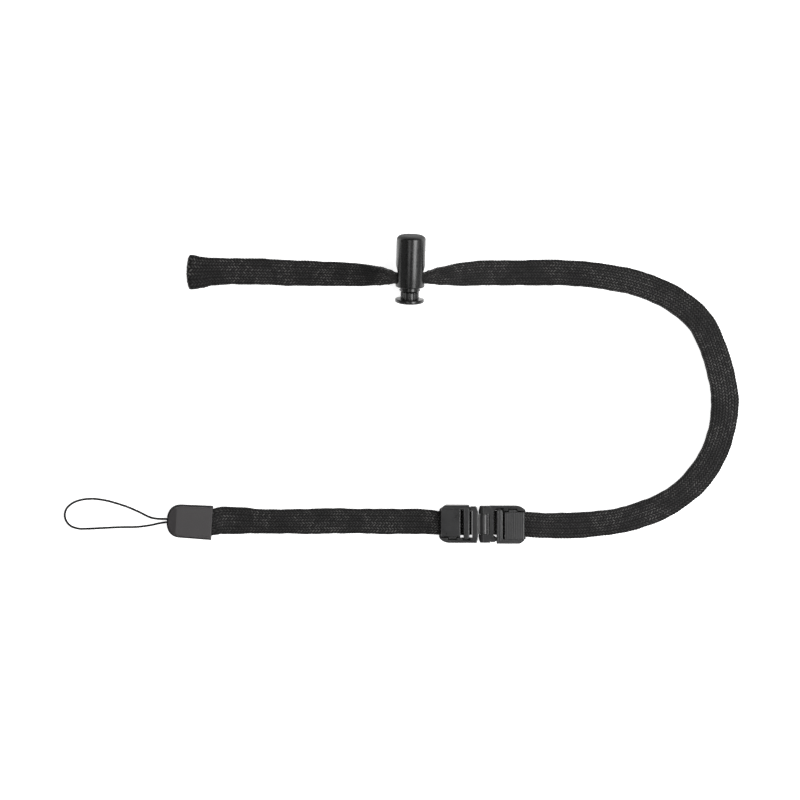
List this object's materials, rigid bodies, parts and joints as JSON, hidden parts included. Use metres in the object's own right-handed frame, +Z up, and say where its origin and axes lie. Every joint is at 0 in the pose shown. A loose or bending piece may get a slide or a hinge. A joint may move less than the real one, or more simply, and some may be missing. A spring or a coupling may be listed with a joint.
{
  "type": "neck lanyard",
  "caption": "Flat braided neck lanyard for a small medical device: doubled neck strap with spring cord lock, breakaway buckle with flip-lid clamps, end tab and string loop.",
  "frame": {"origin": "on the table, under the middle of the laid-out lanyard's bounding box", "axes": "+X along the straps from the string loop towards the U, +Y from the tail strap towards the cord lock, +Z up from the table"},
  "size_m": [0.2694, 0.1233, 0.0169],
  "materials": {
    "braid": "flat herringbone braid of black polyester yarn",
    "string": "tight round braid",
    "buckle": "moulded, fine satin",
    "gloss": "moulded, glossy",
    "tab": "moulded, smooth satin",
    "steel": "drawn wire"
  },
  "bodies": {
    "neck": {"neck_strap_loop_end": "braid", "neck_strap_pinch_upper": "braid", "neck_strap_pinch_lower": "braid", "neck_strap_upper_run": "braid", "neck_strap_lower_run": "braid", "socket_frame": "buckle"},
    "socket_lid_body": {"socket_lid": "buckle"},
    "tail": {"clip_frame": "buckle", "tail_strap": "braid", "tab_upper_shell": "tab", "tab_lower_shell": "tab", "string_knot": "string", "string_loop": "string"},
    "clip_lid_body": {"clip_lid": "buckle"},
    "lock": {"lock_barrel": "gloss", "lock_spring": "steel"},
    "plunger": {"lock_plunger": "gloss"}
  },
  "joints": [
    {"name": "lock_slide", "type": "slide", "parent": "neck", "child": "lock", "axis": [1, 0, 0], "range_m": [-0.025, 0.025], "deforming": ["neck_strap_pinch_upper", "neck_strap_pinch_lower"]},
    {"name": "plunger_press", "type": "slide", "parent": "lock", "child": "plunger", "axis": [0.0289, 0.9739, 0.225], "range_m": [0, 0.0022], "stiffness_N_per_m": 1200, "springref_m": -0.0025, "deforming": ["lock_spring"]},
    {"name": "socket_lid_hinge", "type": "hinge", "parent": "neck", "child": "socket_lid_body", "pos_m": [0.045, -0.06105, 0.004], "axis": [1, 0, 0], "range_deg": [0, 110]},
    {"name": "buckle_release", "type": "slide", "parent": "neck", "child": "tail", "axis": [-1, 0, 0], "range_m": [0, 0.02]},
    {"name": "clip_lid_hinge", "type": "hinge", "parent": "tail", "child": "clip_lid_body", "pos_m": [0.02, -0.04715, 0.004], "axis": [-1, 0, 0], "range_deg": [0, 110]}
  ]
}
